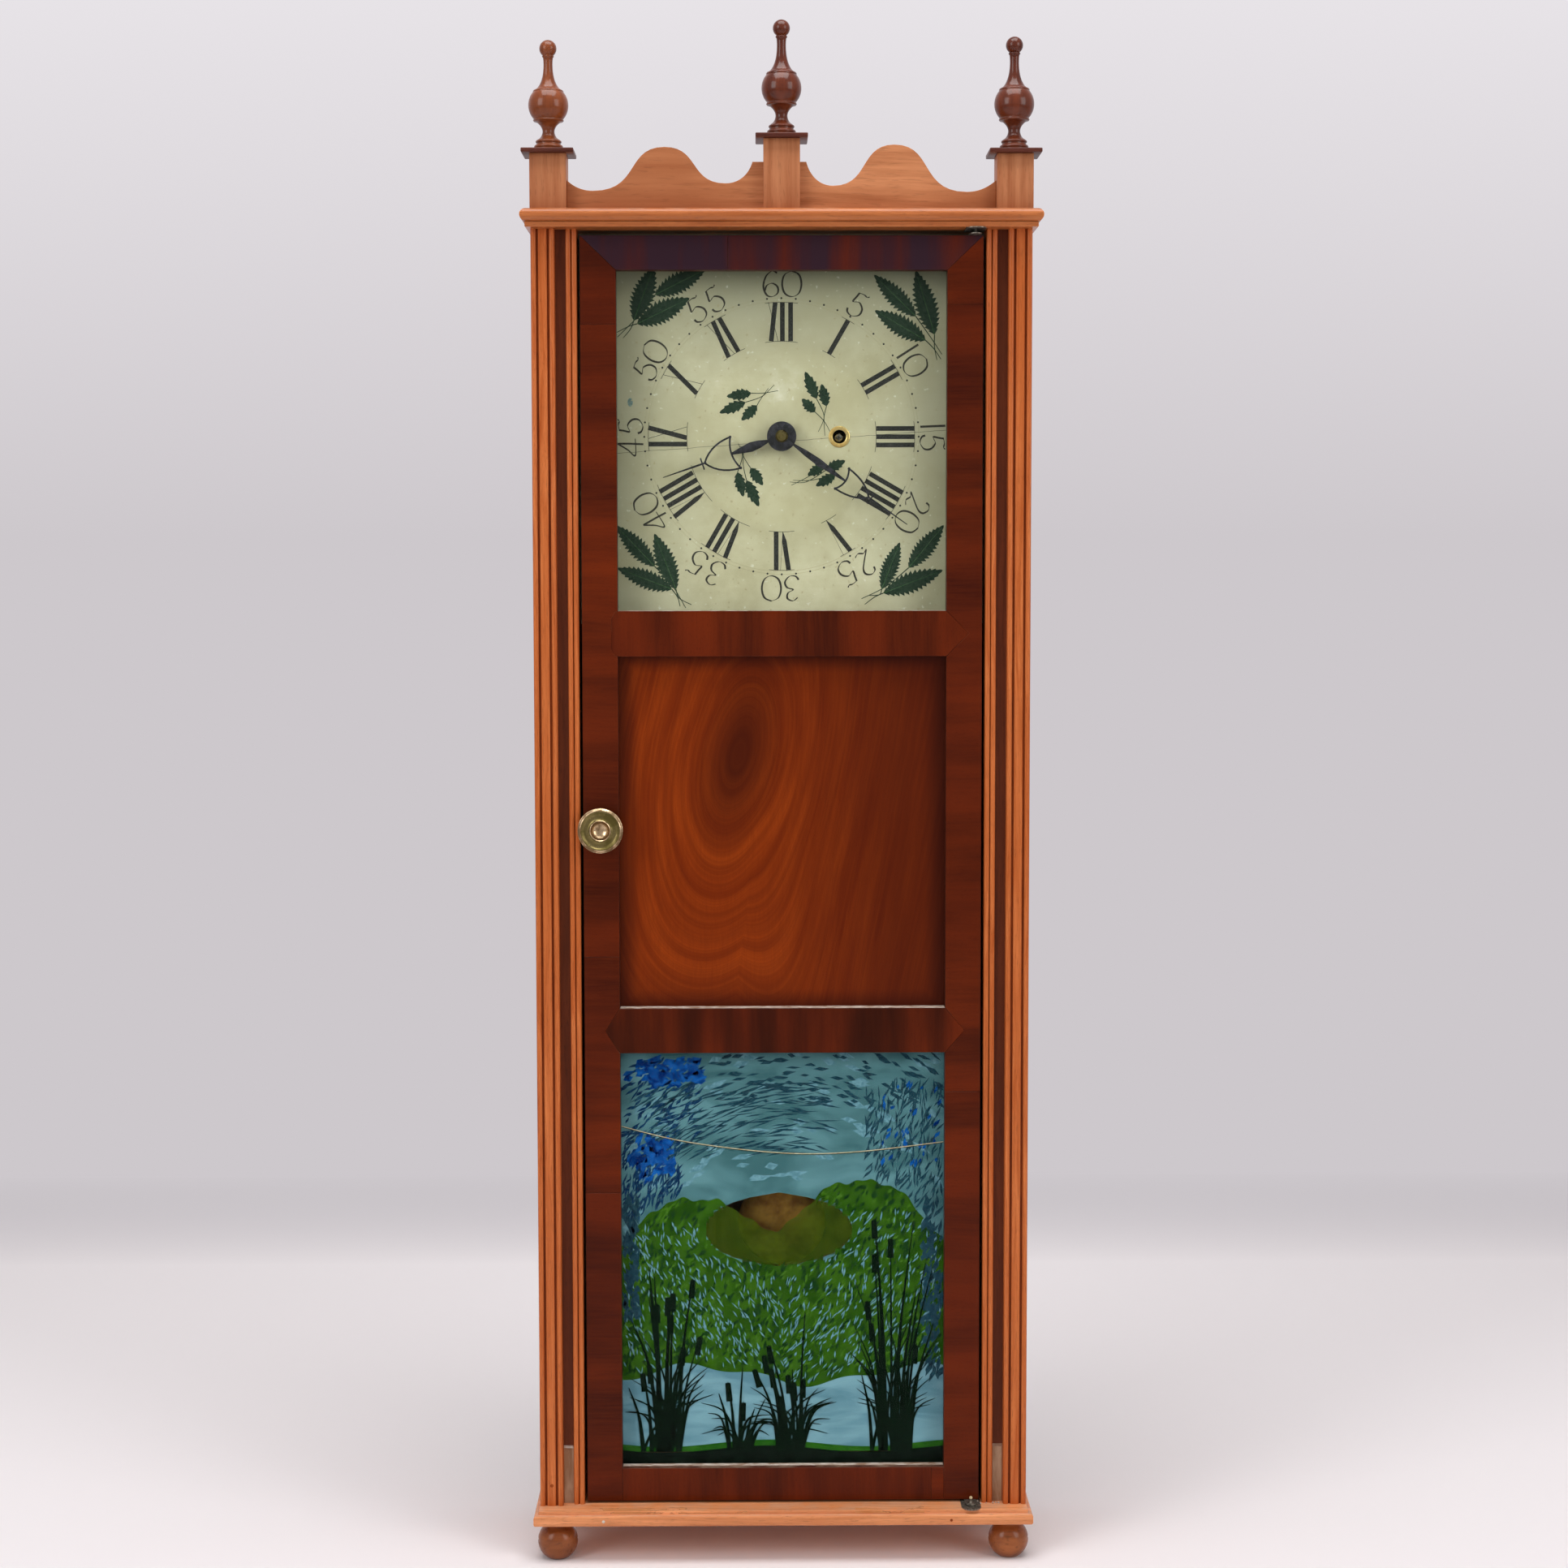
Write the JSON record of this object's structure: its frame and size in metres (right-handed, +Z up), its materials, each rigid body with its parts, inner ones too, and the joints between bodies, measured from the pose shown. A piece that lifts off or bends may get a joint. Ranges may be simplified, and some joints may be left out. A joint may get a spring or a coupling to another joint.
{
  "type": "shelf clock",
  "caption": "Tall wooden shelf clock with a glazed, panelled and painted-glass door, wavy crest, turned finials, ball feet, pendulum and weight",
  "frame": {"origin": "on the floor below the middle of the case, midway between the front of the mouldings and the back board", "axes": "+Z up, the door faces -Y, +X to the right as seen from the front"},
  "size_m": [0.424, 0.145, 1.2754],
  "materials": {
    "case_wood": "shellac satin",
    "strip_wood": "shellac satin",
    "crest_wood": "shellac satin",
    "inner_wood": "bare",
    "turned_wood": "gloss",
    "cap_wood": "satin",
    "foot_wood": "satin",
    "door_veneer": "shellac gloss",
    "panel_veneer": "shellac gloss",
    "inlay_wood": "dark stained",
    "clear_glass": "polished",
    "painted_glass": "painted on the back",
    "dial_paint": "aged paint",
    "black_iron": "blued",
    "aged_brass": "tarnished",
    "bright_brass": "satin",
    "grey_metal": "dull",
    "cast_iron": "rough",
    "cord_fibre": "twisted line"
  },
  "bodies": {
    "case": {"case_side_left": "case_wood", "case_side_right": "case_wood", "case_back": "inner_wood", "base_board": "case_wood", "cornice_board": "case_wood", "front_stile_left": "strip_wood", "front_stile_right": "strip_wood", "outer_pilaster_left": "strip_wood", "outer_pilaster_right": "strip_wood", "channel_inlay_left": "inlay_wood", "channel_inlay_right": "inlay_wood", "crest_board": "crest_wood", "plinth_left": "crest_wood", "plinth_centre": "crest_wood", "plinth_right": "crest_wood", "plinth_cap_left": "cap_wood", "plinth_cap_centre": "cap_wood", "plinth_cap_right": "cap_wood", "finial_left": "turned_wood", "finial_centre": "turned_wood", "finial_right": "turned_wood", "ball_foot_front_left": "foot_wood", "ball_foot_front_right": "foot_wood", "ball_foot_back_left": "foot_wood", "ball_foot_back_right": "foot_wood", "hinge_plate_lower": "grey_metal", "hinge_plate_upper": "grey_metal", "dial_board": "dial_paint", "winding_hole_ring": "bright_brass", "movement_front_plate": "bright_brass", "movement_back_plate": "bright_brass", "weight_line_upper": "cord_fibre", "pulley_bracket": "grey_metal"},
    "door": {"door_stile_left": "door_veneer", "door_stile_right": "door_veneer", "door_rail_top": "door_veneer", "door_rail_upper": "door_veneer", "door_rail_lower": "door_veneer", "door_rail_bottom": "door_veneer", "dial_glass": "clear_glass", "door_panel": "panel_veneer", "tablet_glass": "painted_glass", "hinge_pin_lower": "grey_metal", "hinge_pin_upper": "grey_metal"},
    "knob": {"door_knob": "aged_brass"},
    "centre_arbor": {"centre_wheel": "bright_brass", "minute_hand": "black_iron"},
    "hour_pipe": {"hour_wheel": "bright_brass", "hour_hand": "black_iron"},
    "great_arbor": {"great_wheel": "bright_brass"},
    "drum": {"winding_drum": "bright_brass"},
    "third_arbor": {"third_wheel": "bright_brass"},
    "escape_arbor": {"escape_wheel": "bright_brass"},
    "verge_arbor": {"verge": "grey_metal"},
    "motion_wheel": {"minute_wheel": "bright_brass"},
    "pendulum": {"pendulum_rod": "bright_brass", "pendulum_bob": "aged_brass"},
    "drive_weight": {"weight": "cast_iron", "weight_line": "cord_fibre"},
    "line_pulley": {"pulley": "bright_brass"}
  },
  "joints": [
    {"name": "door_hinge", "type": "hinge", "parent": "case", "child": "door", "pos_m": [0.1578, -0.0575, 0.57425], "axis": [0, 0, 1], "range_deg": [0, 170]},
    {"name": "knob_turn", "type": "hinge", "parent": "door", "child": "knob", "pos_m": [-0.15025, -0.04, 0.6155], "axis": [0, -1, 0], "range_deg": [0, 90]},
    {"name": "minute_turn", "type": "hinge", "parent": "case", "child": "centre_arbor", "pos_m": [0, -0.02, 0.94], "axis": [0, 1, 0], "continuous": true},
    {"name": "hour_turn", "type": "hinge", "parent": "case", "child": "hour_pipe", "pos_m": [0, -0.02, 0.94], "axis": [0, 1, 0], "continuous": true},
    {"name": "great_turn", "type": "hinge", "parent": "case", "child": "great_arbor", "pos_m": [0.048, 0.029, 0.94], "axis": [0, 1, 0], "continuous": true},
    {"name": "third_turn", "type": "hinge", "parent": "case", "child": "third_arbor", "pos_m": [-0.01467, 0.012, 0.95804], "axis": [0, 1, 0], "continuous": true},
    {"name": "escape_turn", "type": "hinge", "parent": "case", "child": "escape_arbor", "pos_m": [0, 0.017, 0.974], "axis": [0, 1, 0], "continuous": true},
    {"name": "motion_turn", "type": "hinge", "parent": "case", "child": "motion_wheel", "pos_m": [-0.01358, -0.002, 0.92642], "axis": [0, 1, 0], "continuous": true},
    {"name": "verge_swing", "type": "hinge", "parent": "case", "child": "verge_arbor", "pos_m": [0, 0.02, 0.9938], "axis": [0, 1, 0], "range_deg": [-3, 3]},
    {"name": "pendulum_swing", "type": "hinge", "parent": "case", "child": "pendulum", "pos_m": [0, 0.0475, 0.9938], "axis": [0, 1, 0], "range_deg": [-2.5, 2.5]},
    {"name": "weight_drop", "type": "slide", "parent": "case", "child": "drive_weight", "axis": [0, 0, 1], "range_m": [-0.74, 0], "deforming": ["weight_line"]},
    {"name": "drum_turn", "type": "hinge", "parent": "case", "child": "drum", "pos_m": [0.048, 0.02, 0.94], "axis": [0, 1, 0], "range_deg": [-1790, 10]},
    {"name": "pulley_turn", "type": "hinge", "parent": "case", "child": "line_pulley", "pos_m": [0.1442, 0.01975, 1.0785], "axis": [0, 1, 0], "range_deg": [-10, 2880]}
  ],
  "couplings": [
    {"joint": "hour_turn", "follows": "minute_turn", "ratio": 0.083333},
    {"joint": "great_turn", "follows": "minute_turn", "ratio": -0.083333},
    {"joint": "third_turn", "follows": "minute_turn", "ratio": -9.3333},
    {"joint": "escape_turn", "follows": "minute_turn", "ratio": 70},
    {"joint": "motion_turn", "follows": "minute_turn", "ratio": -0.33333},
    {"joint": "verge_swing", "follows": "pendulum_swing", "ratio": 1},
    {"joint": "drum_turn", "follows": "weight_drop", "rad_per_m": 42.017},
    {"joint": "pulley_turn", "follows": "weight_drop", "rad_per_m": -67.568}
  ]
}
